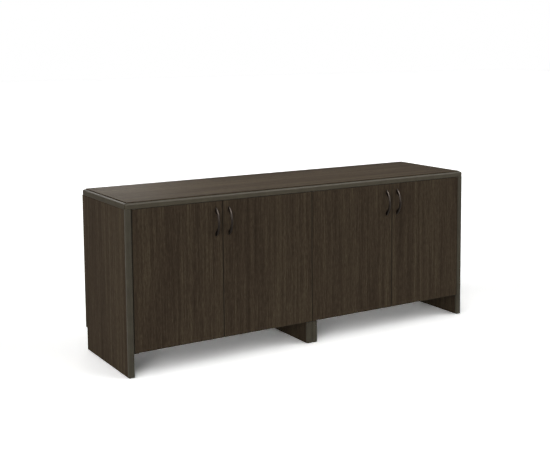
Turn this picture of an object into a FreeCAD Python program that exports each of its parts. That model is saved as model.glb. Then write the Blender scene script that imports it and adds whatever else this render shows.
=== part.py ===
import FreeCAD, Part
import math
import os

# Office credenza: two open-toe storage cabinets bolted side by side under one moulded worktop.
# Each cabinet has a pair of doors that turn on pins at their top and bottom edges.
# Millimetres. X runs along the front, Y from front to back, Z up from the floor.
# The origin is the centre of the footprint, pulls included, at floor level.
# The left half is modelled and the right half is its mirror image.

V = FreeCAD.Vector
ALONG_X = V(1, 0, 0)
ALONG_Y = V(0, 1, 0)
ALONG_Z = V(0, 0, 1)

# ---------------------------------------------------------------- overall sizes
overall_width = 1829.0
overall_depth = 508.0
overall_height = 749.0
toe_height = 104.0

# ---------------------------------------------------------------- boards
top_thickness = 28.6
side_thickness = 28.6
board_thickness = 19.0
back_thickness = 16.0
shelf_thickness = 19.0
shelf_height = 408.0
shelf_setback = 22.0
shelf_end_clearance = 1.0
shelf_back_clearance = 2.0
rail_width = 80.0

# ---------------------------------------------------------------- mouldings round the boards
moulding_depth = 12.0
top_moulding_step = 4.0
top_moulding_radius = 8.0
top_moulding_lower_radius = 2.0
top_corner_radius = 9.0
side_moulding_radius = 7.5
tongue_length = 9.0
tongue_thickness = 3.0
groove_clearance = 0.5

# ---------------------------------------------------------------- doors
door_thickness = 19.0
door_end_gap = 1.6
door_centre_gap = 3.5
door_meeting_gap = 3.5
door_meeting_offset = 6.4
door_top_gap = 1.5
door_bottom_gap = 1.0
door_back_gap = 4.0
foot_gap = 4.0
edging_thickness = 1.0

# ---------------------------------------------------------------- door pivots
pivot_from_edge = 10.0
pivot_from_front = 5.0
pin_radius = 2.0
pin_engagement = 9.0
bush_radius = 3.5
bush_length = 12.0
bush_flange_radius = 4.6
bush_flange_height = 0.7
running_clearance = 0.05
plate_thickness = 2.5
plate_depth = 20.0
plate_front_margin = 2.0
plate_end_margin = 0.5
plate_length = 52.0
plate_tail_depth = 26.0
plate_nose = 9.0
plate_cutback = 10.0
plate_screw_inset = 7.0
plate_screw_spacing = 14.0
upper_plate_recess = 2.0

# ---------------------------------------------------------------- pulls
pull_length = 128.0
pull_reach = 30.0
pull_width = 10.0
pull_bar_thickness = 5.5
pull_hole_centres = 96.0
pull_foot_length = 22.0
pull_edge_radius = 2.0
pull_from_edge = 30.0
pull_from_top = 27.0
pull_screw_radius = 2.0
pull_screw_depth = 8.0
pull_screw_head_radius = 4.0
pull_screw_head_height = 2.6
door_hole_clearance = 0.25

# ---------------------------------------------------------------- catches
catch_length = 46.0
catch_height = 13.0
catch_depth = 18.0
catch_flange_length = 64.0
catch_flange_thickness = 2.0
catch_from_edge = 92.0
catch_gap = 0.3
strike_length = 40.0
strike_height = 12.0
strike_thickness = 1.0

# ---------------------------------------------------------------- fasteners
fit_clearance = 0.05
small_screw_radius = 1.75
small_screw_head_radius = 3.5
small_screw_head_height = 1.8
small_screw_length = 10.0
panel_screw_radius = 2.25
panel_screw_head_radius = 4.5
panel_screw_head_height = 2.6
top_screw_length = 38.0
back_screw_length = 45.0
screw_point = 4.0
drive_radius = 1.2
drive_depth = 1.4
cam_radius = 7.5
cam_height = 12.5
cam_from_end = 34.0
cam_bolt_radius = 3.0
cam_bolt_engagement = 12.0
dowel_radius = 4.0
dowel_length = 30.0
connector_radius = 4.0
connector_head_radius = 7.5
connector_head_height = 1.5
joint_inset = 55.0
joint_spacing = 40.0
top_screw_inset = 60.0
connector_inset = 88.0
back_screw_inset = 60.0
back_screws_per_edge = 4

# ---------------------------------------------------------------- shelf support and feet
shelf_hole_radius = 2.5
shelf_hole_depth = 11.0
shelf_hole_pitch = 32.0
shelf_holes_each_way = 2
shelf_hole_inset = 60.0
shelf_pin_depth = 9.0
shelf_pin_tab = 8.0
shelf_pin_tab_height = 6.0
glide_radius = 11.0
glide_height = 2.0
glide_nail_radius = 1.2
glide_nail_length = 15.0
glide_inset = 40.0

# ---------------------------------------------------------------- planes shared by the pieces
front = (pull_reach - overall_depth) / 2
back = front + overall_depth
back_inner = back - back_thickness
behind_doors = front + door_thickness + door_back_gap
outer_face = -overall_width / 2
outer_inner = outer_face + side_thickness
centre_inner = -side_thickness
top_under = overall_height - top_thickness
side_bottom = glide_height
bottom_upper = toe_height + board_thickness
rail_under = top_under - board_thickness
door_bottom = toe_height + door_bottom_gap
door_top = top_under - door_top_gap
foot_top = door_bottom - foot_gap
door_rear = front + door_thickness
meeting_x = (outer_inner + centre_inner) / 2 - door_meeting_offset
pivot_y = front + pivot_from_front
shelf_front = behind_doors + shelf_setback
shelf_rear = back_inner - shelf_back_clearance


def box(x0, x1, y0, y1, z0, z1):
    """Box between two corners."""
    return Part.makeBox(x1 - x0, y1 - y0, z1 - z0, V(x0, y0, z0))


def rod(radius, start, direction, length):
    """Cylinder that starts at a point and runs along a direction."""
    return Part.makeCylinder(radius, length, start, direction)


def mirrored(shape):
    """The matching shape in the other half of the credenza."""
    return shape.mirror(V(0, 0, 0), ALONG_X)


def with_mirror(shapes):
    """Shapes of the left half followed by those of the right half."""
    shapes = list(shapes)
    return shapes + [mirrored(shape) for shape in shapes]


def drilled(board, tools):
    """Board with every tool cut out of it, as one clean solid."""
    if tools:
        board = board.cut(list(tools))
    solids = board.Solids
    if len(solids) != 1:
        raise ValueError("a board came apart into %d solids" % len(solids))
    return solids[0]


def edges_at(shape, test):
    """Edges whose middle point satisfies a test."""
    chosen = []
    for edge in shape.Edges:
        middle = edge.valueAt((edge.FirstParameter + edge.LastParameter) / 2)
        if test(middle):
            chosen.append(edge)
    return chosen


def near(a, b):
    """Whether two places are the same."""
    return abs(a - b) < 0.001


# ---------------------------------------------------------------- fasteners
def countersunk_screw(seat, direction, length, radius, head_radius, head_height, spare=0.0):
    """Wood screw whose flat head lies at seat; spare grows it into the hole that it needs."""
    reach = length + spare
    head = Part.makeCone(head_radius + spare, radius + spare, head_height, seat, direction)
    shank = rod(radius + spare, seat, direction, reach - screw_point)
    point_start = seat + direction * (reach - screw_point)
    point = Part.makeCone(radius + spare, 0, screw_point, point_start, direction)
    screw = head.fuse([shank, point]).removeSplitter()
    if spare == 0.0:
        screw = screw.cut(rod(drive_radius, seat, direction, drive_depth))
    return screw.Solids[0]


def small_screw(seat, direction, spare=0.0):
    """Short screw of the pivot plates and catches."""
    return countersunk_screw(seat, direction, small_screw_length, small_screw_radius,
                             small_screw_head_radius, small_screw_head_height, spare)


def top_screw(seat, spare=0.0):
    """Screw that goes up through a rail into the worktop."""
    return countersunk_screw(seat, ALONG_Z, top_screw_length, panel_screw_radius,
                             panel_screw_head_radius, panel_screw_head_height, spare)


def back_screw(seat, spare=0.0):
    """Screw that goes forward through a back panel into an upright."""
    return countersunk_screw(seat, ALONG_Y * -1, back_screw_length, panel_screw_radius,
                             panel_screw_head_radius, panel_screw_head_height, spare)


def pull_screw(x, z, spare=0.0):
    """Machine screw from the back of a door into the foot of a pull."""
    length = door_thickness + pull_screw_depth
    shank = rod(pull_screw_radius + spare, V(x, door_rear, z), ALONG_Y * -1, length + spare)
    if spare > 0.0:
        return shank
    head = rod(pull_screw_head_radius, V(x, door_rear, z), ALONG_Y, pull_screw_head_height)
    rim = edges_at(head, lambda p: near(p.y, door_rear + pull_screw_head_height))
    head = head.makeFillet(pull_screw_head_height / 2, rim)
    screw = head.fuse(shank).removeSplitter()
    drive_start = V(x, door_rear + pull_screw_head_height, z)
    return screw.cut(rod(drive_radius, drive_start, ALONG_Y * -1, drive_depth)).Solids[0]


# ---------------------------------------------------------------- joints between boards and uprights
def joint_ends():
    """Inner face and inward direction of the two uprights of the left cabinet."""
    return [(outer_inner, 1), (centre_inner, -1)]


def board_joints():
    """Edge joints of the left cabinet: upright face, direction, board underside, board middle, two Ys."""
    bottom_middle = toe_height + board_thickness / 2
    rail_middle = rail_under + board_thickness / 2
    front_rail_y = behind_doors + rail_width / 2
    rear_rail_y = back_inner - rail_width / 2
    joints = []
    for face, inward in joint_ends():
        for cam_y, dowel_y in ((behind_doors + joint_inset, behind_doors + joint_inset + joint_spacing),
                               (back_inner - joint_inset, back_inner - joint_inset - joint_spacing)):
            joints.append((face, inward, toe_height, bottom_middle, cam_y, dowel_y))
        for rail_y in (front_rail_y, rear_rail_y):
            joints.append((face, inward, rail_under, rail_middle,
                           rail_y - joint_spacing / 2, rail_y + joint_spacing / 2))
    return joints


def cam_lock(face, inward, underside, cam_y, spare=0.0):
    """Round cam housing let into the underside of a board."""
    centre = V(face + inward * cam_from_end, cam_y, underside)
    lock = rod(cam_radius + spare, centre, ALONG_Z, cam_height + spare)
    if spare == 0.0:
        lock = lock.cut(rod(drive_radius * 2, centre, ALONG_Z, drive_depth))
    return lock.Solids[0]


def cam_bolt(face, inward, middle, cam_y, spare=0.0):
    """Bolt from an upright to the rim of a cam."""
    start = face - inward * (cam_bolt_engagement + spare)
    length = cam_bolt_engagement + spare + cam_from_end - cam_radius - fit_clearance * 2
    return rod(cam_bolt_radius + spare, V(start, cam_y, middle), ALONG_X * inward, length)


def dowel(face, inward, middle, dowel_y, spare=0.0):
    """Wooden dowel, half in the upright and half in the board."""
    length = dowel_length + 2 * spare
    start = face - inward * length / 2
    return rod(dowel_radius + spare, V(start, dowel_y, middle), ALONG_X * inward, length)


def joint_tools(face_wanted=None, underside_wanted=None):
    """Holes for the joints of one upright, or of one height of board."""
    tools = []
    for face, inward, underside, middle, cam_y, dowel_y in board_joints():
        if face_wanted is not None and not near(face, face_wanted):
            continue
        if underside_wanted is not None and not near(underside, underside_wanted):
            continue
        tools.append(cam_lock(face, inward, underside, cam_y, fit_clearance))
        tools.append(cam_bolt(face, inward, middle, cam_y, fit_clearance))
        tools.append(dowel(face, inward, middle, dowel_y, fit_clearance))
    return tools


def connector_places():
    """Where the two cabinets are bolted together, as Y and Z."""
    low = bottom_upper + connector_inset
    high = rail_under - connector_inset
    depths = (behind_doors + connector_inset, back_inner - connector_inset)
    return [(y, z) for y in depths for z in (low, high)]


def connector(y, z, spare=0.0):
    """Sleeve connector through both centre uprights, with a flat head at each end."""
    shank = rod(connector_radius + spare, V(-side_thickness, y, z), ALONG_X, 2 * side_thickness)
    if spare > 0.0:
        return shank
    left_start = V(-side_thickness - connector_head_height, y, z)
    right_end = V(side_thickness + connector_head_height, y, z)
    left_head = rod(connector_head_radius, left_start, ALONG_X, connector_head_height)
    right_head = rod(connector_head_radius, V(side_thickness, y, z), ALONG_X, connector_head_height)
    whole = shank.fuse([left_head, right_head]).removeSplitter()
    whole = whole.cut([rod(drive_radius * 2, left_start, ALONG_X, drive_depth),
                       rod(drive_radius * 2, right_end, ALONG_X * -1, drive_depth)])
    return whole.Solids[0]


# ---------------------------------------------------------------- screw places
def top_screw_seats():
    """Screws of the left cabinet that hold the worktop down."""
    seats = []
    for y in (behind_doors + rail_width / 2, back_inner - rail_width / 2):
        for x in (outer_inner + top_screw_inset, centre_inner - top_screw_inset):
            seats.append(V(x, y, rail_under))
    return seats


def back_screw_seats():
    """Screws of the left back panel, up the middle of each upright."""
    low = toe_height + back_screw_inset
    high = top_under - back_screw_inset
    step = (high - low) / (back_screws_per_edge - 1)
    columns = (outer_face + side_thickness / 2, -side_thickness / 2)
    return [V(x, back, low + row * step) for x in columns for row in range(back_screws_per_edge)]


# ---------------------------------------------------------------- shelf supports
def shelf_hole_columns():
    """Face, direction into the upright and Y of each row of shelf holes."""
    rows = (shelf_front + shelf_hole_inset, shelf_rear - shelf_hole_inset)
    return [(face, inward, y) for face, inward in joint_ends() for y in rows]


def shelf_pin_height():
    """Height of the holes that hold the shelf pins."""
    return shelf_height - shelf_pin_tab_height / 2


def shelf_holes(face_wanted):
    """Blind holes for shelf pins in one upright."""
    tools = []
    for face, inward, y in shelf_hole_columns():
        if not near(face, face_wanted):
            continue
        for step in range(-shelf_holes_each_way, shelf_holes_each_way + 1):
            start = V(face - inward * shelf_hole_depth, y, shelf_pin_height() + step * shelf_hole_pitch)
            tools.append(rod(shelf_hole_radius, start, ALONG_X * inward, shelf_hole_depth))
    return tools


def shelf_pin(face, inward, y):
    """Metal pin with a flat tab that a shelf rests on."""
    start = V(face - inward * shelf_pin_depth, y, shelf_pin_height())
    stem = rod(shelf_hole_radius - fit_clearance, start, ALONG_X * inward, shelf_pin_depth + shelf_pin_tab)
    x0, x1 = sorted((face, face + inward * shelf_pin_tab))
    half = shelf_pin_tab / 2
    tab = box(x0, x1, y - half, y + half, shelf_height - shelf_pin_tab_height, shelf_height)
    lower = edges_at(tab, lambda p: near(p.z, shelf_height - shelf_pin_tab_height))
    tab = tab.makeFillet(shelf_pin_tab_height / 4, [e for e in lower if near(e.valueAt(0).y, e.valueAt(1).y)])
    return stem.fuse(tab).removeSplitter().Solids[0]


# ---------------------------------------------------------------- feet
def glide_places(x_middle, foot_front):
    """Where the two glides of an upright are."""
    return [V(x_middle, foot_front + glide_inset, 0), V(x_middle, back_inner - glide_inset, 0)]


def all_glide_places():
    """Glides of the left cabinet's two uprights."""
    outer_middle = outer_face + side_thickness / 2
    return glide_places(outer_middle, front) + glide_places(-side_thickness / 2, front)


def glide(place):
    """Nail-on floor glide."""
    disc = rod(glide_radius, place, ALONG_Z, glide_height)
    rim = edges_at(disc, lambda p: near(p.z, 0))
    disc = disc.makeFillet(glide_height / 2, rim)
    nail = rod(glide_nail_radius, place, ALONG_Z, glide_height + glide_nail_length)
    return disc.fuse(nail).removeSplitter().Solids[0]


def glide_holes(places):
    """Nail holes of the glides."""
    return [rod(glide_nail_radius + fit_clearance, place, ALONG_Z,
                glide_height + glide_nail_length + fit_clearance) for place in places]


# ---------------------------------------------------------------- worktop
def worktop():
    """Laminated board with a groove round its edge for the moulding's tongue."""
    inset = moulding_depth
    field = box(outer_face + inset, -outer_face - inset, front + inset, back - inset,
                top_under, overall_height)
    floor = inset + tongue_length + groove_clearance
    z0, z1 = tongue_heights()
    whole = box(outer_face, -outer_face, front, back, z0, z1)
    core = box(outer_face + floor, -outer_face - floor, front + floor, back - floor, z0, z1)
    tools = [whole.cut(core)]
    for seat in top_screw_seats():
        hole = top_screw(seat, fit_clearance)
        tools += [hole, mirrored(hole)]
    for plate in pivot_plates("upper"):
        for seat in plate["screws"]:
            hole = small_screw(seat, ALONG_Z, fit_clearance)
            tools += [hole, mirrored(hole)]
    return drilled(field, tools + plate_pockets())


def tongue_heights():
    """Lower and upper side of the worktop moulding's tongue."""
    middle = top_under + (top_thickness - top_moulding_step) / 2
    return middle - tongue_thickness / 2, middle + tongue_thickness / 2


def worktop_moulding():
    """The whole moulding round the worktop, before it is mitred into four."""
    crown = overall_height - top_moulding_step
    ring = box(outer_face, -outer_face, front, back, top_under, crown)
    corners = edges_at(ring, lambda p: near(p.z, (top_under + crown) / 2))
    ring = ring.makeFillet(top_corner_radius, corners)
    ring = ring.makeFillet(top_moulding_radius, edges_at(ring, lambda p: near(p.z, crown)))
    ring = ring.makeFillet(top_moulding_lower_radius, edges_at(ring, lambda p: near(p.z, top_under)))
    inset = moulding_depth
    ring = ring.cut(box(outer_face + inset, -outer_face - inset, front + inset, back - inset,
                        top_under, overall_height))
    z0, z1 = tongue_heights()
    tip = inset + tongue_length
    outer = box(outer_face + inset, -outer_face - inset, front + inset, back - inset, z0, z1)
    inner = box(outer_face + tip, -outer_face - tip, front + tip, back - tip, z0, z1)
    return ring.fuse(outer.cut(inner)).removeSplitter()


def prism(points, z0, z1):
    """Upright prism over a closed outline."""
    outline = Part.makePolygon([V(x, y, z0) for x, y in points + points[:1]])
    return Part.Face(outline).extrude(V(0, 0, z1 - z0))


def mitre_wedges():
    """Region of the plan that each of the four mouldings fills, cut at 45 degrees."""
    half = overall_depth / 2
    margin = moulding_depth
    left, right = outer_face - margin, -outer_face + margin
    near_y, far_y = front - margin, back + margin
    reach = half + margin
    middle_left, middle_right, middle_y = left + reach, right - reach, near_y + reach
    return {
        "front": [(left, near_y), (right, near_y), (middle_right, middle_y), (middle_left, middle_y)],
        "rear": [(left, far_y), (middle_left, middle_y), (middle_right, middle_y), (right, far_y)],
        "left": [(left, near_y), (middle_left, middle_y), (left, far_y)],
        "right": [(right, near_y), (right, far_y), (middle_right, middle_y)],
    }


def worktop_edges():
    """The four mitred mouldings by name."""
    ring = worktop_moulding()
    edges = {}
    for side, points in mitre_wedges().items():
        edges["worktop_edge_" + side] = ring.common(prism(points, top_under, overall_height)).Solids[0]
    edges["worktop_edge_front"] = drilled(edges["worktop_edge_front"], plate_pockets())
    return edges


# ---------------------------------------------------------------- uprights
def upright_moulding(x0, x1, z0, z1):
    """Moulding on the front edge of an upright, rounded at both corners, with a tongue behind."""
    joint = front + moulding_depth
    nose = box(x0, x1, front, joint, z0, z1)
    nose = nose.makeFillet(side_moulding_radius,
                           edges_at(nose, lambda p: near(p.y, front) and near(p.z, (z0 + z1) / 2)))
    middle = (x0 + x1) / 2
    half = tongue_thickness / 2
    tongue = box(middle - half, middle + half, joint, joint + tongue_length, z0, z1)
    return nose.fuse(tongue).removeSplitter().Solids[0]


def upright_groove(x0, x1, z0, z1):
    """Groove that takes the tongue of an upright's moulding."""
    middle = (x0 + x1) / 2
    half = tongue_thickness / 2
    joint = front + moulding_depth
    return box(middle - half, middle + half, joint, joint + tongue_length + groove_clearance, z0, z1)


def upright_holes(face, x_middle):
    """Holes that both uprights of a cabinet share."""
    tools = joint_tools(face_wanted=face) + shelf_holes(face)
    tools += [back_screw(seat, fit_clearance) for seat in back_screw_seats() if near(seat.x, x_middle)]
    return tools + glide_holes(glide_places(x_middle, front))


def end_panel():
    """Outer upright of the left cabinet."""
    joint = front + moulding_depth
    board = box(outer_face, outer_inner, joint, back_inner, side_bottom, top_under)
    tools = [upright_groove(outer_face, outer_inner, side_bottom, top_under)]
    return drilled(board, tools + upright_holes(outer_inner, outer_face + side_thickness / 2))


def centre_panel():
    """Inner upright of the left cabinet, cut back above its foot to let the doors close over it."""
    joint = front + moulding_depth
    board = box(centre_inner, 0, joint, back_inner, side_bottom, top_under)
    notch = box(centre_inner, 0, joint, behind_doors, foot_top, top_under)
    tools = [notch, upright_groove(centre_inner, 0, side_bottom, foot_top)]
    tools += [connector(y, z, fit_clearance) for y, z in connector_places()]
    return drilled(board, tools + upright_holes(centre_inner, centre_inner / 2))


# ---------------------------------------------------------------- boards of a cabinet
def bottom_panel():
    """Fixed bottom of the left cabinet."""
    board = box(outer_inner, centre_inner, behind_doors, back_inner, toe_height, bottom_upper)
    tools = joint_tools(underside_wanted=toe_height)
    for plate in pivot_plates("lower"):
        tools += [small_screw(seat, ALONG_Z, fit_clearance) for seat in plate["screws"]]
    return drilled(board, tools)


def back_panel():
    """Back of the left cabinet, lapped over the rear edges of both uprights."""
    board = box(outer_face, 0, back_inner, back, toe_height, top_under)
    return drilled(board, [back_screw(seat, fit_clearance) for seat in back_screw_seats()])


def rail(y0, catch_holes):
    """Flat rail under the worktop."""
    board = box(outer_inner, centre_inner, y0, y0 + rail_width, rail_under, top_under)
    tools = joint_tools(underside_wanted=rail_under)
    tools += [top_screw(seat, fit_clearance) for seat in top_screw_seats()]
    return drilled(board, tools + catch_holes)


def shelf():
    """Loose shelf that rests on four pins."""
    board = box(outer_inner + shelf_end_clearance, centre_inner - shelf_end_clearance,
                shelf_front, shelf_rear, shelf_height, shelf_height + shelf_thickness)
    return board


# ---------------------------------------------------------------- doors of the left cabinet
def door_layout():
    """Edges, pivot side and pivot place of the outer and the inner door."""
    outer_left = outer_inner + door_end_gap
    outer_right = meeting_x - door_meeting_gap / 2
    inner_left = meeting_x + door_meeting_gap / 2
    inner_right = -door_centre_gap / 2
    return {
        "outer": {"x0": outer_left, "x1": outer_right, "pivot_x": outer_left + pivot_from_edge,
                  "pull_x": outer_right - pull_from_edge, "catch_x": outer_right - catch_from_edge},
        "inner": {"x0": inner_left, "x1": inner_right, "pivot_x": inner_right - pivot_from_edge,
                  "pull_x": inner_left + pull_from_edge, "catch_x": inner_left + catch_from_edge},
    }


def pull_centre_z():
    """Height of the middle of a pull."""
    return door_top - pull_from_top - pull_length / 2


def pull_hole_heights():
    """Heights of the two screws of a pull."""
    middle = pull_centre_z()
    return [middle - pull_hole_centres / 2, middle + pull_hole_centres / 2]


def bush_tools(door, spare=0.0):
    """Flanged bushes at the bottom and the top of a door; spare grows them into their holes."""
    bushes = []
    for end, inward in ((door_bottom, 1), (door_top, -1)):
        up = ALONG_Z * inward
        seat = V(door["pivot_x"], pivot_y, end)
        sleeve = rod(bush_radius + spare, seat, up, bush_length + spare)
        if spare == 0.0:
            flange = rod(bush_flange_radius, seat - up * bush_flange_height, up, bush_flange_height)
            bore_start = seat - up * bush_flange_height
            bore = rod(pin_radius + running_clearance, bore_start, up, bush_flange_height + bush_length)
            sleeve = sleeve.fuse(flange).removeSplitter().cut(bore)
        bushes.append(sleeve.Solids[0])
    return bushes


def door_panel(door):
    """Laminated door board inside its edging."""
    e = edging_thickness
    board = box(door["x0"] + e, door["x1"] - e, front, door_rear, door_bottom + e, door_top - e)
    tools = bush_tools(door, fit_clearance)
    tools += [pull_screw(door["pull_x"], z, door_hole_clearance) for z in pull_hole_heights()]
    return drilled(board, tools)


def door_edging(door):
    """Four strips round a door."""
    e = edging_thickness
    x0, x1 = door["x0"], door["x1"]
    holes = bush_tools(door, fit_clearance)
    strips = [box(x0, x0 + e, front, door_rear, door_bottom, door_top),
              box(x1 - e, x1, front, door_rear, door_bottom, door_top),
              box(x0 + e, x1 - e, front, door_rear, door_bottom, door_bottom + e),
              box(x0 + e, x1 - e, front, door_rear, door_top - e, door_top)]
    return [drilled(strip, holes) for strip in strips]


def arc_between(y_end, half_chord, y_apex, x, z_middle):
    """Arc in a vertical plane that bulges forward from a door's face."""
    return Part.Arc(V(x, y_end, z_middle - half_chord), V(x, y_apex, z_middle),
                    V(x, y_end, z_middle + half_chord)).toShape()


def pull(door):
    """Bowed pull with solid wedge feet, and a hole in each foot for its screw."""
    x = door["pull_x"] - pull_width / 2
    middle = pull_centre_z()
    half = pull_length / 2
    inner_half = half - pull_foot_length
    outer = arc_between(front, half, front - pull_reach, x, middle)
    inner = arc_between(front, inner_half, front - pull_reach + pull_bar_thickness, x, middle)
    lower = Part.makeLine(V(x, front, middle - half), V(x, front, middle - inner_half))
    upper = Part.makeLine(V(x, front, middle + inner_half), V(x, front, middle + half))
    side = Part.Face(Part.Wire(Part.__sortEdges__([outer, upper, inner, lower])))
    bow = side.extrude(V(pull_width, 0, 0))
    outer_edges = edges_at(bow, lambda p: near(p.y, front - pull_reach))
    bow = bow.makeFillet(pull_edge_radius, outer_edges)
    tools = [pull_screw(door["pull_x"], z, fit_clearance) for z in pull_hole_heights()]
    return drilled(bow, tools)


def strike_plate(door):
    """Steel plate on the back of a door that the catch holds."""
    half = strike_length / 2
    low = rail_under - catch_flange_thickness - catch_height / 2 - strike_height / 2
    return box(door["catch_x"] - half, door["catch_x"] + half, door_rear, door_rear + strike_thickness,
               low, low + strike_height)


# ---------------------------------------------------------------- pivots
def pivot_plates(level):
    """Plan outline, pin place and screw seats of the left cabinet's two plates at one level.

    A lower plate has a tail under the bottom panel, and is cut back beside its pin to show less of itself.
    """
    layout = door_layout()
    y0 = front + plate_front_margin
    y1 = y0 + plate_depth
    outer_start = outer_inner + plate_end_margin
    inner_end = -plate_end_margin - door_centre_gap / 2
    tail_y1 = y1 + plate_tail_depth
    plates = []
    for name, x0, x1 in (("outer", outer_start, outer_start + plate_length),
                         ("inner", inner_end - plate_length, inner_end)):
        pin = layout[name]["pivot_x"]
        free_end = x1 if name == "outer" else x0
        back_to_pin = -1 if name == "outer" else 1
        if level == "upper":
            z1 = top_under + upper_plate_recess
            z0 = z1 - plate_thickness
            tail = None
            cutback = None
            insets = (plate_screw_inset, plate_screw_inset + plate_screw_spacing)
            seats = [V(free_end + back_to_pin * inset, y1 - plate_screw_inset, z0) for inset in insets]
        else:
            z0, z1 = toe_height - plate_thickness, toe_height
            tail_x0 = max(x0, outer_inner + plate_end_margin)
            tail_x1 = min(x1, centre_inner - plate_end_margin)
            tail = (tail_x0, tail_x1, y1, tail_y1)
            cut_x0, cut_x1 = sorted((free_end, pin - back_to_pin * plate_nose))
            cutback = (cut_x0, cut_x1, y0, y0 + plate_cutback)
            tail_middle = (tail_x0 + tail_x1) / 2
            seats = [V(tail_middle, behind_doors + plate_screw_inset, z0),
                     V(tail_middle, tail_y1 - plate_screw_inset, z0)]
        plates.append({"x0": x0, "x1": x1, "y0": y0, "y1": y1, "z0": z0, "z1": z1,
                       "tail": tail, "cutback": cutback, "pin_x": pin, "screws": seats})
    return plates


def plate_pockets():
    """Shallow pockets in the underside of the worktop and its front moulding, for the upper plates."""
    pockets = [box(plate["x0"] - fit_clearance, plate["x1"] + fit_clearance,
                   plate["y0"] - fit_clearance, plate["y1"] + fit_clearance, plate["z0"], plate["z1"])
               for plate in pivot_plates("upper")]
    return with_mirror(pockets)


def pivot_plate(plate):
    """Flat steel plate that holds one pivot pin."""
    body = box(plate["x0"], plate["x1"], plate["y0"], plate["y1"], plate["z0"], plate["z1"])
    if plate["tail"]:
        x0, x1, y0, y1 = plate["tail"]
        body = body.fuse(box(x0, x1, y0, y1, plate["z0"], plate["z1"])).removeSplitter()
        x0, x1, y0, y1 = plate["cutback"]
        body = body.cut(box(x0, x1, y0, y1, plate["z0"], plate["z1"]))
    tools = [rod(pin_radius, V(plate["pin_x"], pivot_y, plate["z0"]), ALONG_Z, plate_thickness)]
    tools += [small_screw(seat, ALONG_Z, fit_clearance) for seat in plate["screws"]]
    return drilled(body, tools)


def pivot_pin(plate, level):
    """Pin pressed into a plate; it stands into the bush of a door."""
    if level == "upper":
        start, tip, direction = plate["z1"], door_top - pin_engagement, ALONG_Z * -1
    else:
        start, tip, direction = plate["z0"], door_bottom + pin_engagement, ALONG_Z
    pin = rod(pin_radius, V(plate["pin_x"], pivot_y, start), direction, abs(tip - start))
    return pin.makeChamfer(pin_radius / 4, edges_at(pin, lambda p: near(p.z, tip))).Solids[0]


# ---------------------------------------------------------------- catches
def catch_seats(door):
    """Screw seats of a catch, in its flange."""
    y = door_rear + strike_thickness + catch_gap + catch_depth / 2
    reach = (catch_flange_length + catch_length) / 4
    return [V(door["catch_x"] + side * reach, y, rail_under - catch_flange_thickness) for side in (-1, 1)]


def catch(door):
    """Magnetic catch under the front rail, with a flange for its screws."""
    y0 = door_rear + strike_thickness + catch_gap
    y1 = y0 + catch_depth
    x = door["catch_x"]
    flange = box(x - catch_flange_length / 2, x + catch_flange_length / 2, y0 + catch_depth / 4, y1,
                 rail_under - catch_flange_thickness, rail_under)
    housing = box(x - catch_length / 2, x + catch_length / 2, y0, y1,
                  rail_under - catch_flange_thickness - catch_height, rail_under - catch_flange_thickness)
    body = flange.fuse(housing).removeSplitter()
    return drilled(body, [small_screw(seat, ALONG_Z, fit_clearance) for seat in catch_seats(door)])


# ---------------------------------------------------------------- assembly
def pair(parts, name, shape):
    """Store a piece of the left half and its mirror image."""
    parts["left_" + name] = [shape]
    parts["right_" + name] = [mirrored(shape)]


def build():
    """Every node of the credenza with its solids."""
    layout = door_layout()
    parts = {"worktop": [worktop()]}
    for name, shape in worktop_edges().items():
        parts[name] = [shape]
    pair(parts, "end_panel", end_panel())
    pair(parts, "end_panel_edge", upright_moulding(outer_face, outer_inner, side_bottom, top_under))
    pair(parts, "centre_panel", centre_panel())
    pair(parts, "centre_panel_edge", upright_moulding(centre_inner, 0, side_bottom, foot_top))
    pair(parts, "bottom_panel", bottom_panel())
    pair(parts, "back_panel", back_panel())
    catch_holes = [small_screw(seat, ALONG_Z, fit_clearance)
                   for door in layout.values() for seat in catch_seats(door)]
    pair(parts, "front_rail", rail(behind_doors, catch_holes))
    pair(parts, "rear_rail", rail(back_inner - rail_width, []))
    pair(parts, "shelf", shelf())

    parts["shelf_pins"] = with_mirror(shelf_pin(*place) for place in shelf_hole_columns())
    parts["floor_glides"] = with_mirror(glide(place) for place in all_glide_places())
    small_seats = []
    pins = []
    for level in ("lower", "upper"):
        plates = pivot_plates(level)
        parts[level + "_pivot_plates"] = with_mirror(pivot_plate(plate) for plate in plates)
        pins += [pivot_pin(plate, level) for plate in plates]
        small_seats += [seat for plate in plates for seat in plate["screws"]]
    parts["pivot_pins"] = with_mirror(pins)
    small_seats += [seat for door in layout.values() for seat in catch_seats(door)]
    parts["plate_and_catch_screws"] = with_mirror(small_screw(seat, ALONG_Z) for seat in small_seats)
    parts["magnetic_catches"] = with_mirror(catch(door) for door in layout.values())

    joints = board_joints()
    parts["cam_locks"] = with_mirror(cam_lock(j[0], j[1], j[2], j[4]) for j in joints)
    parts["cam_bolts"] = with_mirror(cam_bolt(j[0], j[1], j[3], j[4]) for j in joints)
    parts["wood_dowels"] = with_mirror(dowel(j[0], j[1], j[3], j[5]) for j in joints)
    parts["cabinet_connectors"] = [connector(y, z) for y, z in connector_places()]
    parts["worktop_screws"] = with_mirror(top_screw(seat) for seat in top_screw_seats())
    parts["back_panel_screws"] = with_mirror(back_screw(seat) for seat in back_screw_seats())

    for side, door in layout.items():
        screws = [pull_screw(door["pull_x"], z) for z in pull_hole_heights()]
        pieces = {"door_panel": [door_panel(door)], "door_edging": door_edging(door),
                  "pull": [pull(door)], "pull_screws": screws,
                  "hinge_bushes": bush_tools(door), "strike_plate": [strike_plate(door)]}
        for name, shapes in pieces.items():
            parts["left_%s_%s" % (side, name)] = shapes
            parts["right_%s_%s" % (side, name)] = [mirrored(shape) for shape in shapes]
    return parts


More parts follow.
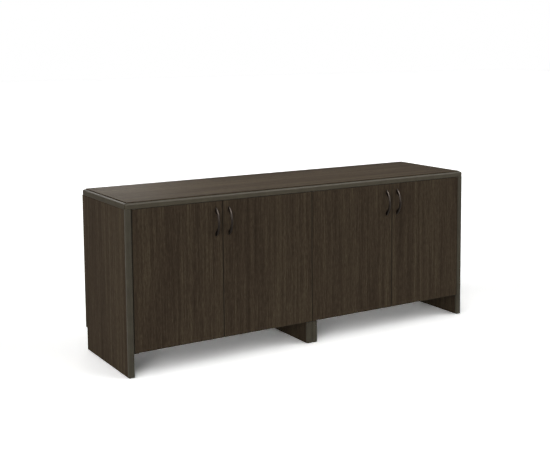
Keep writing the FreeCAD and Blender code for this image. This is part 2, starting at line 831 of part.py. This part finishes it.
def save(parts):
    """Write one STEP file per node."""
    os.makedirs("parts", exist_ok=True)
    for name, shapes in parts.items():
        whole = shapes[0] if len(shapes) == 1 else Part.makeCompound(shapes)
        whole.exportStep(os.path.join("parts", name + ".step"))


nodes = build()
save(nodes)
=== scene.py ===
import math

import bmesh
import bpy
from mathutils import Matrix, Vector


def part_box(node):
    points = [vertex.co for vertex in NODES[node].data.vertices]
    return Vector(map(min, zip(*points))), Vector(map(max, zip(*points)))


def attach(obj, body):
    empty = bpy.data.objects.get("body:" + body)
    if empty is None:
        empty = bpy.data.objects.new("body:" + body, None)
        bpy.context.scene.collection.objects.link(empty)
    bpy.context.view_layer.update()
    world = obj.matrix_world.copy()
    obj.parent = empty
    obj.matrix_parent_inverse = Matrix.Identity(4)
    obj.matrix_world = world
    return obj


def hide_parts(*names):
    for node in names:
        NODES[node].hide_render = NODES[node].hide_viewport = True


# Office credenza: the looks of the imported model, its camera, stage and light. Metres, Z up.

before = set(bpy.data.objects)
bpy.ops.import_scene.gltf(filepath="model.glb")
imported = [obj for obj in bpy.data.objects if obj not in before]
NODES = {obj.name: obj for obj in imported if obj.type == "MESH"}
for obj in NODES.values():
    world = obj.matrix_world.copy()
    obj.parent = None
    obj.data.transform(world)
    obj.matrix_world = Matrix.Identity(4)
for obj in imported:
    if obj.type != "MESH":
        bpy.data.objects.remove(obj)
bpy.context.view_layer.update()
DOORS = ("left_outer", "left_inner", "right_inner", "right_outer")
MM = 0.001

# ---------------------------------------------------------------- boards
LENGTHWISE = ("worktop", "shelf", "bottom_panel", "rail")      # grain along x; on the others it is upright
EASED = {                      # radius of the eased edges, by the end of the node's name
    "worktop": 0.8 * MM,
    "end_panel": 0.6 * MM,
    "centre_panel": 0.6 * MM,
    "bottom_panel": 0.6 * MM,
    "back_panel": 0.6 * MM,
    "rail": 0.6 * MM,
    "shelf": 0.6 * MM,
    "door_panel": 0.15 * MM,
    "door_edging": 0.3 * MM,
}
EASE_SEGMENTS = 2
WELD_REACH = 0.005 * MM
FLAT_WITHIN = math.radians(0.5)
SHARP_FROM = math.radians(50)
FLAT_WEIGHT = 90               # how much a flat face counts over its eased edges in the shading

# ---------------------------------------------------------------- pulls
PULL_FOOT = 22 * MM            # how far a foot runs along the door
PULL_BAR = 5.5 * MM            # thickness at the middle of the bow
PULL_SQUARENESS = 0.62         # power that squares the section: 1 leaves it round
PULL_RINGS = 56
PULL_SIDES = 28

# ---------------------------------------------------------------- camera
IMAGE_WIDTH = 550
FOCAL_PX = 1004.6
SENSOR_MM = 36.0
SHIFT_X = -0.10
SHIFT_Y = -0.14
CAMERA_PLACE = Vector((-2.4717, -4.1218, 1.4149))
CAMERA_YAW = 0.58518           # radians, as are pitch and roll
CAMERA_PITCH = 0.10667
CAMERA_ROLL = -0.00214

# ---------------------------------------------------------------- grain of the laminate
# Each layer's scale along and across the grain, roughness, share of the tone and seed.
GRAIN = {
    "bands": {"run": 0.5, "across": 13.0, "roughness": 0.50, "share": 0.15, "seed": 0.0},
    "strips": {"run": 1.2, "across": 60.0, "roughness": 0.60, "share": 0.19, "seed": 1.0},
    "streaks": {"run": 2.5, "across": 210.0, "roughness": 0.65, "share": 0.22, "seed": 2.0},
    "threads": {"run": 8.0, "across": 560.0, "roughness": 0.60, "share": 0.22, "seed": 3.0},
    "flecks": {"run": 42.0, "across": 420.0, "roughness": 0.65, "share": 0.32, "seed": 6.0},
}
TONE_RANGE = (0.432, 0.668)    # the tones that become the darkest and the lightest wood
PORE_SCALE = (70.0, 2300.0)    # along and across the grain, as is the next scale
SWAY_SCALE = (1.3, 6.0)
SWAY = 0.016                   # the room in which a line of the grain wanders to the side
PORE_RANGE = (0.54, 0.68)      # from no pore to a full one
PORE_STRENGTH = 0.35
LAMINATE_SHEEN = 0.03
NOISE_RANGE = (0.3, 0.7)       # where nearly all values of a noise lie

# ---------------------------------------------------------------- stage and light
WORLD_LEVEL = 0.23             # what the white surroundings give as light
BACKGROUND_LEVEL = 1.0         # how bright they are where they are seen or mirrored
FLOOR_SIZE = 60.0
FLOOR_ALBEDO = 0.8             # what the floor gives back as light
FLOOR_SEEN = 1.5               # what the camera sees of it: as white as the background, out of the shadow
SUN_SOFTNESS = math.radians(30)
SUN_DISTANCE = 4.0             # where a broad light hangs, which doesn't change what it gives
# Bearing in degrees from straight in front, positive to the right, and height over the horizon. The level
# under "light" falls on the surfaces, and the one under "glint" shows in their sheen alone.
SUNS = {
    "key": {"bearing": -43, "height": 17, "light": 0.50, "glint": 0.60},
    "low": {"bearing": 33, "height": 0, "light": 0.0, "glint": 0.10},
    "left": {"bearing": -88, "height": 32, "light": 0.34, "glint": 0.0},
    "right_high": {"bearing": 46, "height": 46, "light": 0.20, "glint": 0.65},
    "right": {"bearing": 65, "height": 18, "light": 0.21, "glint": 0.0},
    "back": {"bearing": 180, "height": 12, "light": 0.44, "glint": 0.0},
    "back_high": {"bearing": 180, "height": 32, "light": 0.0, "glint": 0.52},
}
LAMPS = {
    "softbox": {"shape": "RECTANGLE", "width": 1.7, "depth": 0.45, "spread": 50, "power": 1.8,
                "place": (0.0, 0.0, 1.9), "aim": (0.0, 0.0, 0.0), "colour": (1.0, 0.99, 0.90)},
    "top_lamp": {"shape": "DISK", "width": 0.4, "depth": 0.4, "spread": 60, "power": 1.3,
                 "place": (-0.3, 1.5, 1.0), "aim": (-0.85, 0.0, 0.74), "colour": (1.0, 0.96, 0.87)},
}


def make_camera():
    """Camera at the photograph's viewing angle."""
    forward = Vector((math.sin(CAMERA_YAW) * math.cos(CAMERA_PITCH),
                      math.cos(CAMERA_YAW) * math.cos(CAMERA_PITCH), -math.sin(CAMERA_PITCH)))
    level = Vector((math.cos(CAMERA_YAW), -math.sin(CAMERA_YAW), 0))
    upward = level.cross(forward)
    right = level * math.cos(CAMERA_ROLL) + upward * math.sin(CAMERA_ROLL)
    up = upward * math.cos(CAMERA_ROLL) - level * math.sin(CAMERA_ROLL)
    data = bpy.data.cameras.new("camera")
    data.sensor_fit = "HORIZONTAL"
    data.sensor_width = SENSOR_MM
    data.lens = FOCAL_PX * SENSOR_MM / IMAGE_WIDTH
    data.shift_x = SHIFT_X
    data.shift_y = SHIFT_Y
    camera = bpy.data.objects.new("camera", data)
    bpy.context.collection.objects.link(camera)
    turn = Matrix((right, up, -forward)).transposed().to_4x4()
    camera.matrix_world = Matrix.Translation(CAMERA_PLACE) @ turn
    bpy.context.scene.camera = camera


# ---------------------------------------------------------------- material helpers
class Shader:
    """A material's node tree with short calls that add and join nodes."""

    def __init__(self, name):
        self.material = bpy.data.materials.new(name)
        self.material.use_nodes = True
        self.tree = self.material.node_tree
        self.bsdf = self.tree.nodes["Principled BSDF"]
        self.coordinates = self.add("TexCoord").outputs["Object"]

    def add(self, kind, **settings):
        node = self.tree.nodes.new("ShaderNode" + kind)
        for key, value in settings.items():
            setattr(node, key, value)
        return node

    def put(self, value, socket):
        """Joins an output to a socket, or sets the socket to a value."""
        if isinstance(value, bpy.types.NodeSocket):
            self.tree.links.new(value, socket)
        else:
            socket.default_value = value

    def constants(self, **values):
        """Sets sockets of the shader itself; a name's underscores stand for spaces."""
        for name, value in values.items():
            self.bsdf.inputs[name.replace("_", " ")].default_value = value

    def place(self, scale, seed, vector=None):
        """Coordinates moved by a seed and scaled by one number, or by one for each axis."""
        mapping = self.add("Mapping")
        self.put(self.coordinates if vector is None else vector, mapping.inputs["Vector"])
        mapping.inputs["Scale"].default_value = scale if isinstance(scale, tuple) else (scale, scale, scale)
        mapping.inputs["Location"].default_value = (seed * 3.71, seed * 5.37, seed * 7.93)
        return mapping.outputs["Vector"]

    def noise(self, scale, seed, detail=3.0, roughness=0.55, vector=None):
        """Noise over the object's own coordinates, or over a vector."""
        noise = self.add("TexNoise")
        self.put(self.place(scale, seed, vector), noise.inputs["Vector"])
        noise.inputs["Scale"].default_value = 1.0
        noise.inputs["Detail"].default_value = detail
        noise.inputs["Roughness"].default_value = roughness
        return noise.outputs["Fac"]

    def math(self, operation, *values):
        """Arithmetic on outputs and plain numbers."""
        node = self.add("Math", operation=operation)
        for value, socket in zip(values, node.inputs):
            self.put(value, socket)
        return node.outputs["Value"]

    def span(self, factor, low, high, start=0.0, end=1.0):
        """Maps a factor from start..end onto low..high, held at both ends."""
        node = self.add("MapRange")
        for value, name in ((factor, "Value"), (start, "From Min"), (end, "From Max"),
                            (low, "To Min"), (high, "To Max")):
            self.put(value, node.inputs[name])
        return node.outputs["Result"]

    def ramp(self, factor, stops):
        """Colour ramp through (place, colour) stops."""
        node = self.add("ValToRGB")
        elements = node.color_ramp.elements
        while len(elements) < len(stops):
            elements.new(0.5)
        for element, (place, colour) in zip(elements, stops):
            element.position = place
            element.color = (*colour, 1.0)
        self.put(factor, node.inputs["Fac"])
        return node.outputs["Color"]

    def blend(self, factor, output, colour):
        """Mixes a colour into a colour output."""
        node = self.add("Mix", data_type="RGBA")
        self.put(factor, node.inputs["Factor"])
        first, second = (socket for socket in node.inputs if socket.type == "RGBA")
        self.put(output, first)
        self.put((*colour, 1.0), second)
        return next(socket for socket in node.outputs if socket.type == "RGBA")

    def bump(self, height, distance):
        """Relief as deep as the distance where the height is 1."""
        node = self.add("Bump")
        self.put(height, node.inputs["Height"])
        node.inputs["Strength"].default_value = 1.0
        node.inputs["Distance"].default_value = distance
        self.put(node.outputs["Normal"], self.bsdf.inputs["Normal"])

    def colour(self, value):
        self.put(value, self.bsdf.inputs["Base Color"])

    def roughness(self, value):
        self.put(value, self.bsdf.inputs["Roughness"])

    def drifting_colour(self, noise, dark, light):
        """Base colour that drifts with a noise from a dark to a light one."""
        self.colour(self.ramp(noise, list(zip(NOISE_RANGE, (dark, light)))))

    def drifting_roughness(self, noise, low, high):
        """Roughness that drifts with a noise from low to high."""
        self.roughness(self.span(noise, low, high, *NOISE_RANGE))


def srgb(red, green, blue):
    """Linear colour of an sRGB value given as 0..255."""
    def linear(channel):
        value = channel / 255.0
        return value / 12.92 if value <= 0.04045 else ((value + 0.055) / 1.055) ** 2.4
    return linear(red), linear(green), linear(blue)


# ---------------------------------------------------------------- materials
def grain_scale(axis, run, across):
    """Texture scales that stretch a pattern along one axis."""
    return tuple(run if name == axis else across for name in "xyz")


def wandering_place(shader, axis, seed):
    """Object coordinates that sway to the sides along an axis, so that the grain isn't ruled straight."""
    sway = shader.noise(grain_scale(axis, *SWAY_SCALE), seed, detail=1.0)
    shift = shader.math("MULTIPLY_ADD", sway, SWAY, -SWAY / 2)
    combine = shader.add("CombineXYZ")
    for socket, letter in zip(combine.inputs, "xyz"):
        if letter != axis:
            shader.put(shift, socket)
    moved = shader.add("VectorMath", operation="ADD")
    shader.put(shader.coordinates, moved.inputs[0])
    shader.put(combine.outputs["Vector"], moved.inputs[1])
    return moved.outputs["Vector"]


def laminate(name, axis, seed):
    """Dark wood-grain laminate: broad bands, strips, fine streaks and short pores, all along one axis."""
    shader = Shader(name)
    grain = wandering_place(shader, axis, seed + 5.0)
    layers = {}
    tone = 0.0
    for layer, look in GRAIN.items():
        scale = grain_scale(axis, look["run"], look["across"])
        layers[layer] = shader.noise(scale, seed + look["seed"], 2.0, look["roughness"], grain)
        tone = shader.math("MULTIPLY_ADD", layers[layer], look["share"], tone)
    wood = shader.ramp(shader.span(tone, 0.0, 1.0, *TONE_RANGE), [
        (0.00, srgb(39, 32, 24)),
        (0.38, srgb(51, 42, 33)),
        (0.62, srgb(60, 51, 40)),
        (1.00, srgb(73, 65, 50)),
    ])
    pores = shader.noise(grain_scale(axis, *PORE_SCALE), seed + 4.0, 1.0, 0.5, grain)
    pore = shader.span(pores, 0.0, 1.0, *PORE_RANGE)
    shader.colour(shader.blend(shader.math("MULTIPLY", pore, PORE_STRENGTH), wood, srgb(33, 27, 21)))
    shader.drifting_roughness(layers["threads"], 0.80, 0.90)
    shader.constants(Specular_IOR_Level=LAMINATE_SHEEN)
    shader.bump(shader.math("SUBTRACT", layers["threads"], pore), 0.06 * MM)
    return shader.material


def moulding(name, dark, light, specular, rough=0.37):
    """Moulded edge, satin or duller, with a faint orange peel."""
    shader = Shader(name)
    shader.drifting_colour(shader.noise(22.0, seed=1.0, detail=2.0), dark, light)
    shader.drifting_roughness(shader.noise(140.0, seed=2.0), rough - 0.05, rough + 0.05)
    shader.constants(Specular_IOR_Level=specular)
    shader.bump(shader.noise(900.0, seed=3.0, detail=1.0), 0.02 * MM)
    return shader.material


def metal(name, dark, light, rough_low, rough_high, brush=60.0):
    """Metal with clouded plating and fine brushing."""
    shader = Shader(name)
    lines = shader.noise(brush, seed=2.0, detail=2.0, roughness=0.6)
    shader.drifting_colour(shader.noise(35.0, seed=1.0), dark, light)
    shader.drifting_roughness(lines, rough_low, rough_high)
    shader.constants(Metallic=1.0)
    shader.bump(lines, 0.015 * MM)
    return shader.material


def plastic(name, dark, light, rough):
    """Moulded plastic with a fine spark-eroded texture."""
    shader = Shader(name)
    shader.drifting_colour(shader.noise(60.0, seed=1.0), dark, light)
    shader.drifting_roughness(shader.noise(400.0, seed=2.0), rough - 0.06, rough + 0.06)
    shader.bump(shader.noise(2200.0, seed=3.0, detail=1.0), 0.02 * MM)
    return shader.material


def beech(name):
    """Pale beech of the dowels, with its flecks."""
    shader = Shader(name)
    grain = shader.noise((20.0, 600.0, 600.0), seed=1.0)
    shader.drifting_colour(grain, srgb(176, 138, 98), srgb(206, 170, 126))
    shader.roughness(shader.span(grain, 0.55, 0.7))
    shader.bump(grain, 0.05 * MM)
    return shader.material


def shared_finishes():
    """Finishes by the name of the CAD's material slot; laminate and some edges have finishes of their own."""
    return {
        "edge_moulding": moulding("upright_edge_finish", srgb(57, 53, 44), srgb(64, 60, 50), 0.12),
        "dark_bronze": metal("dark_bronze_finish", srgb(48, 43, 40), srgb(61, 55, 50), 0.30, 0.42,
                             (900.0, 900.0, 40.0)),
        "black_steel": metal("black_steel_finish", srgb(40, 37, 34), srgb(50, 47, 43), 0.42, 0.55),
        "plated_steel": metal("plated_steel_finish", srgb(172, 173, 170), srgb(198, 199, 196), 0.24, 0.38),
        "screw_steel": metal("screw_steel_finish", srgb(150, 146, 132), srgb(182, 176, 158), 0.26, 0.40),
        "cast_zinc": metal("cast_zinc_finish", srgb(150, 151, 150), srgb(176, 177, 175), 0.38, 0.52),
        "bush_nylon": plastic("bush_nylon_finish", srgb(40, 35, 30), srgb(50, 44, 38), 0.45),
        "catch_plastic": plastic("catch_plastic_finish", srgb(66, 52, 40), srgb(76, 61, 48), 0.45),
        "glide_plastic": plastic("glide_plastic_finish", srgb(34, 33, 32), srgb(46, 45, 43), 0.5),
        "beech": beech("beech_finish"),
    }


def finish_solids():
    """Gives every CAD node its procedural material; each board has grain of its own.

    The worktop's front strip has more sheen than its other strips, which are painted darker as shade, and the
    doors' edging is dull.
    """
    shared = shared_finishes()
    front_edge = moulding("front_edge_finish", srgb(58, 53, 42), srgb(65, 60, 48), 0.16)
    # painted shade: the worktop's side and rear strips get a darker copy of the front strip's moulding colour
    painted_shade_edge = moulding("painted_shade_edge_finish", srgb(52, 47, 37), srgb(59, 54, 43), 0.02)
    edging = moulding("door_edging_finish", srgb(52, 46, 38), srgb(59, 53, 44), 0.03, 0.85)
    for seed, (name, node) in enumerate(sorted(NODES.items())):
        slot = node.material_slots[0].material.name
        if slot == "laminate":
            axis = "x" if any(word in name for word in LENGTHWISE) else "z"
            finish = laminate(name + "_finish", axis, float(seed))
        elif name.startswith("worktop_edge"):
            finish = front_edge if name.endswith("front") else painted_shade_edge
        elif name.endswith("door_edging"):
            finish = edging
        else:
            finish = shared[slot]
        node.material_slots[0].material = finish


def ease_boards():
    """Slightly rounded edges on the boards and the doors' edging, as modifiers over the CAD mesh."""
    for name, node in NODES.items():
        for ending, radius in EASED.items():
            if name.endswith(ending):
                add_easing(node, radius)


def add_easing(piece, radius):
    """Joins the facets of each flat face and rounds every sharp edge."""
    weld = piece.modifiers.new("weld", "WELD")
    weld.merge_threshold = WELD_REACH
    flat = piece.modifiers.new("flat", "DECIMATE")
    flat.decimate_type = "DISSOLVE"
    flat.angle_limit = FLAT_WITHIN
    ease = piece.modifiers.new("ease", "BEVEL")
    ease.width = radius
    ease.segments = EASE_SEGMENTS
    ease.limit_method = "ANGLE"
    ease.angle_limit = SHARP_FROM
    normals = piece.modifiers.new("normals", "WEIGHTED_NORMAL")
    normals.weight = FLAT_WEIGHT


def arc_point(half, rise, turn):
    """Point of an arc that spans 2 * half and rises by rise: (along, out) at turn -1..1 of its half angle."""
    radius = (half * half + rise * rise) / (2 * rise)
    angle = turn * math.asin(half / radius)
    return radius * math.sin(angle), rise - radius * (1 - math.cos(angle))


def squared(value):
    """Bends a sine or cosine so that it draws a rounded square in place of a circle."""
    return math.copysign(abs(value) ** PULL_SQUARENESS, value)


def pull_ring(turn, half_length, reach):
    """Points round the bow at turn -1..1 of its arc, each as (across -1..1, out from the door, along it)."""
    outer_along, outer_out = arc_point(half_length, reach, turn)
    inner_along, inner_out = arc_point(half_length - PULL_FOOT, reach - PULL_BAR, turn)
    ring = []
    for side in range(PULL_SIDES):
        angle = 2 * math.pi * side / PULL_SIDES
        through = 0.5 + 0.5 * squared(math.sin(angle))
        out = inner_out + (outer_out - inner_out) * through
        along = inner_along + (outer_along - inner_along) * through
        ring.append((squared(math.cos(angle)), max(out, 0.0), along))
    return ring


def make_pull(door):
    """Bowed pull with crowned faces that runs out into its two feet, over the CAD pull."""
    low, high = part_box(door + "_pull")
    centre = (low + high) / 2
    half_width = (high.x - low.x) / 2
    half_length = (high.z - low.z) / 2
    bm = bmesh.new()
    rings = []
    for step in range(PULL_RINGS + 1):
        ring = pull_ring(2 * step / PULL_RINGS - 1, half_length, high.y - low.y)
        rings.append([bm.verts.new((centre.x + half_width * across, high.y - out, centre.z + along))
                      for across, out, along in ring])
    for ring, following in zip(rings, rings[1:]):
        for side in range(PULL_SIDES):
            beside = (side + 1) % PULL_SIDES
            bm.faces.new((ring[side], ring[beside], following[beside], following[side]))
    bm.faces.new(reversed(rings[0]))
    bm.faces.new(rings[-1])
    bmesh.ops.recalc_face_normals(bm, faces=bm.faces[:])
    mesh = bpy.data.meshes.new(door + "_bow_pull")
    bm.to_mesh(mesh)
    bm.free()
    mesh.shade_smooth()
    pull = bpy.data.objects.new(door + "_bow_pull", mesh)
    bpy.context.collection.objects.link(pull)
    mesh.materials.append(bpy.data.materials["dark_bronze_finish"])
    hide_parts(door + "_pull")
    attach(pull, door + "_door")


def level_by_ray(tree, seen, unseen_level, seen_level):
    """One level for rays that only bring light, another for those that a node output marks as seen."""
    level = tree.nodes.new("ShaderNodeMapRange")
    tree.links.new(seen, level.inputs["Value"])
    level.inputs["To Min"].default_value = unseen_level
    level.inputs["To Max"].default_value = seen_level
    return level.outputs["Result"]


def make_stage():
    """White floor that keeps the object's shadow."""
    mesh = bpy.data.meshes.new("floor")
    half = FLOOR_SIZE / 2
    corners = [(-half, -half, 0), (half, -half, 0), (half, half, 0), (-half, half, 0)]
    mesh.from_pydata(corners, [], [(0, 1, 2, 3)])
    floor = bpy.data.objects.new("floor", mesh)
    bpy.context.collection.objects.link(floor)
    material = bpy.data.materials.new("floor_white")
    material.use_nodes = True
    tree = material.node_tree
    tree.nodes.remove(tree.nodes["Principled BSDF"])
    path = tree.nodes.new("ShaderNodeLightPath")
    level = level_by_ray(tree, path.outputs["Is Camera Ray"], FLOOR_ALBEDO, FLOOR_SEEN)
    diffuse = tree.nodes.new("ShaderNodeBsdfDiffuse")
    tree.links.new(level, diffuse.inputs["Color"])
    tree.links.new(diffuse.outputs["BSDF"], tree.nodes["Material Output"].inputs["Surface"])
    mesh.materials.append(material)


def make_world():
    """Even white surroundings: plain light on the object, white behind it."""
    world = bpy.data.worlds.new("studio")
    bpy.context.scene.world = world
    world.use_nodes = True
    tree = world.node_tree
    background = tree.nodes["Background"]
    background.inputs["Color"].default_value = (1.0, 1.0, 1.0, 1.0)
    path = tree.nodes.new("ShaderNodeLightPath")
    seen = path.outputs["Is Camera Ray"]
    for name in ("Is Glossy Ray", "Is Transmission Ray"):
        either = tree.nodes.new("ShaderNodeMath")
        either.operation = "MAXIMUM"
        tree.links.new(seen, either.inputs[0])
        tree.links.new(path.outputs[name], either.inputs[1])
        seen = either.outputs["Value"]
    level = level_by_ray(tree, seen, WORLD_LEVEL, BACKGROUND_LEVEL)
    tree.links.new(level, background.inputs["Strength"])


def place_light(data, place, direction, light_too=True, glint_too=True):
    """Hangs a light that the camera doesn't see; it can leave out the light or the glints that it gives."""
    light = bpy.data.objects.new(data.name, data)
    light.visible_camera = False
    light.visible_diffuse = light_too
    light.visible_glossy = glint_too
    bpy.context.collection.objects.link(light)
    light.matrix_world = Matrix.Translation(place) @ direction.to_track_quat("-Z", "Y").to_matrix().to_4x4()


def make_suns():
    """Broad lights far away, each as a pair: one gives light alone and the other glints alone."""
    for name, sun in SUNS.items():
        bearing, height = math.radians(sun["bearing"]), math.radians(sun["height"])
        toward = Vector((-math.sin(bearing) * math.cos(height), math.cos(bearing) * math.cos(height),
                         -math.sin(height)))
        for kind in ("light", "glint"):
            if sun[kind]:
                data = bpy.data.lights.new(name + "_" + kind, "SUN")
                data.angle = SUN_SOFTNESS
                data.energy = math.pi * sun[kind]
                place_light(data, -SUN_DISTANCE * toward, toward, kind == "light", kind == "glint")


def make_lamps():
    """A softbox over the worktop, and a soft lamp low behind it that is aimed at its left end."""
    for name, lamp in LAMPS.items():
        data = bpy.data.lights.new(name, "AREA")
        data.shape = lamp["shape"]
        data.size = lamp["width"]
        data.size_y = lamp["depth"]
        data.spread = math.radians(lamp["spread"])
        data.energy = lamp["power"]
        data.color = lamp["colour"]
        place = Vector(lamp["place"])
        place_light(data, place, Vector(lamp["aim"]) - place)


# ---------------------------------------------------------------- scene
make_camera()
make_stage()
make_world()
make_suns()
make_lamps()
finish_solids()
ease_boards()
for door in DOORS:
    make_pull(door)

bpy.context.scene.view_settings.view_transform = "Standard"
